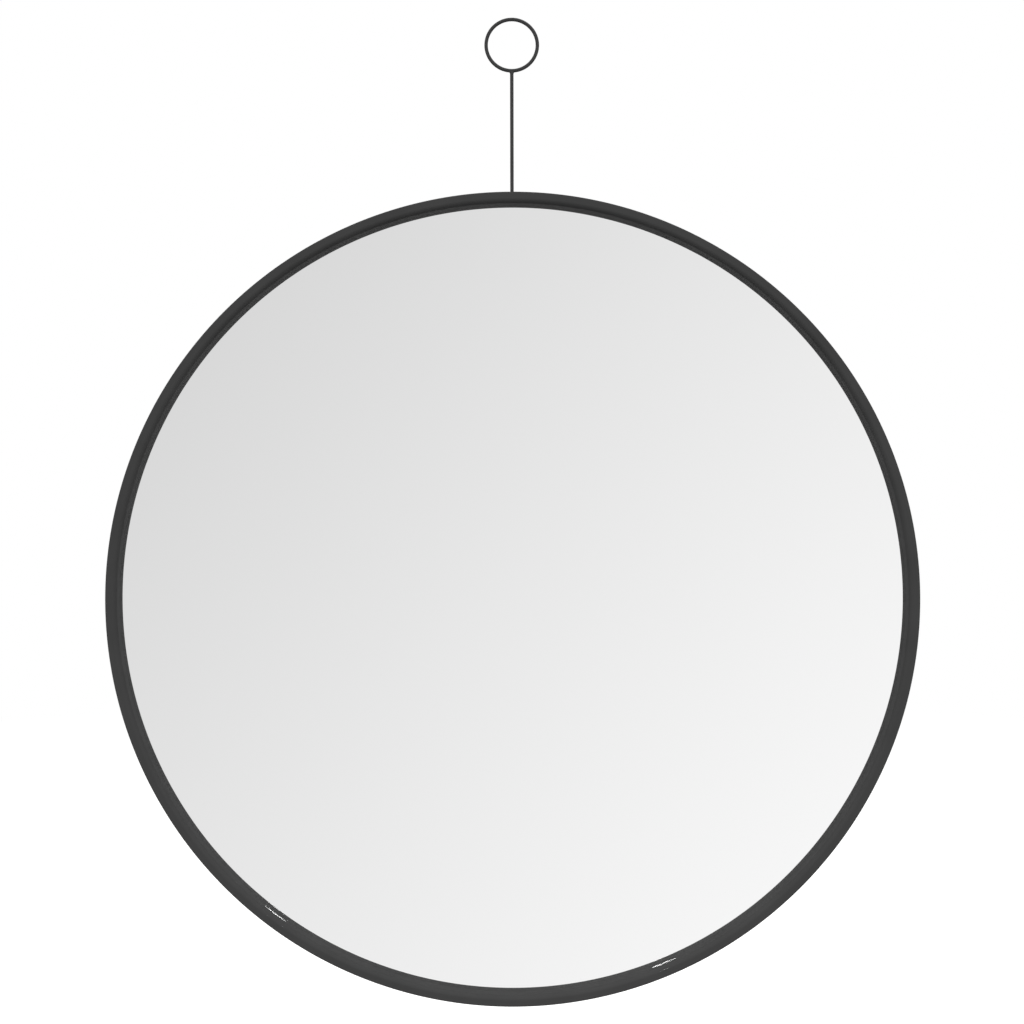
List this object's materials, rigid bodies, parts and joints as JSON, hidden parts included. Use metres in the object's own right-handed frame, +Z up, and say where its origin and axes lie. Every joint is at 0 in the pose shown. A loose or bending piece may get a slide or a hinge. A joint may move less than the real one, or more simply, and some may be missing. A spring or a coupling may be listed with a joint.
{
  "type": "wall mirror",
  "caption": "Round wall mirror in a thin black channel frame, hung from a wire ring on a rod; turn buttons hold its back in.",
  "frame": {"origin": "centre of the hanging ring's eye", "axes": "+Z up along the rod towards the ring, -Y the way the glass faces, +Y towards the wall, +X right as seen from the front"},
  "size_m": [0.5999, 0.021, 0.7297],
  "materials": {
    "black_coat": "satin powder coat",
    "float_glass": "clear, polished edge",
    "silver": "silvered, grey paint behind",
    "zinc_steel": "zinc plated",
    "nylon": "moulded",
    "black_rubber": "moulded, matt",
    "foam": "closed-cell foam",
    "fibre_board": "pressed fibre, smooth face"
  },
  "bodies": {
    "hanger": {"hanging_ring": "black_coat", "hanging_rod": "black_coat", "rod_washer": "zinc_steel", "rod_locknut": "zinc_steel", "locknut_insert": "nylon"},
    "mirror": {"frame_ring": "black_coat", "mirror_glass": "float_glass", "silver_coating": "silver", "edge_blocks": "black_rubber", "foam_pads": "foam", "backing_board": "fibre_board", "button_rivets": "zinc_steel", "wall_bumpers": "black_rubber"},
    "turn_button_1_body": {"turn_button_1": "zinc_steel"},
    "turn_button_2_body": {"turn_button_2": "zinc_steel"},
    "turn_button_3_body": {"turn_button_3": "zinc_steel"},
    "turn_button_4_body": {"turn_button_4": "zinc_steel"},
    "turn_button_5_body": {"turn_button_5": "zinc_steel"},
    "turn_button_6_body": {"turn_button_6": "zinc_steel"},
    "turn_button_7_body": {"turn_button_7": "zinc_steel"},
    "turn_button_8_body": {"turn_button_8": "zinc_steel"}
  },
  "joints": [
    {"name": "hanger_swivel", "type": "hinge", "parent": "hanger", "child": "mirror", "pos_m": [0, 0, -0.10955], "axis": [0, 0, 1], "continuous": true},
    {"name": "button_1_turn", "type": "hinge", "parent": "mirror", "child": "turn_button_1_body", "pos_m": [0.10654, 0.012, -0.15234], "axis": [0, 1, 0], "continuous": true},
    {"name": "button_2_turn", "type": "hinge", "parent": "mirror", "child": "turn_button_2_body", "pos_m": [0.25721, 0.012, -0.30301], "axis": [0, 1, 0], "continuous": true},
    {"name": "button_3_turn", "type": "hinge", "parent": "mirror", "child": "turn_button_3_body", "pos_m": [0.25721, 0.012, -0.51609], "axis": [0, 1, 0], "continuous": true},
    {"name": "button_4_turn", "type": "hinge", "parent": "mirror", "child": "turn_button_4_body", "pos_m": [0.10654, 0.012, -0.66676], "axis": [0, 1, 0], "continuous": true},
    {"name": "button_5_turn", "type": "hinge", "parent": "mirror", "child": "turn_button_5_body", "pos_m": [-0.10654, 0.012, -0.66676], "axis": [0, 1, 0], "continuous": true},
    {"name": "button_6_turn", "type": "hinge", "parent": "mirror", "child": "turn_button_6_body", "pos_m": [-0.25721, 0.012, -0.51609], "axis": [0, 1, 0], "continuous": true},
    {"name": "button_7_turn", "type": "hinge", "parent": "mirror", "child": "turn_button_7_body", "pos_m": [-0.25721, 0.012, -0.30301], "axis": [0, 1, 0], "continuous": true},
    {"name": "button_8_turn", "type": "hinge", "parent": "mirror", "child": "turn_button_8_body", "pos_m": [-0.10654, 0.012, -0.15234], "axis": [0, 1, 0], "continuous": true}
  ]
}
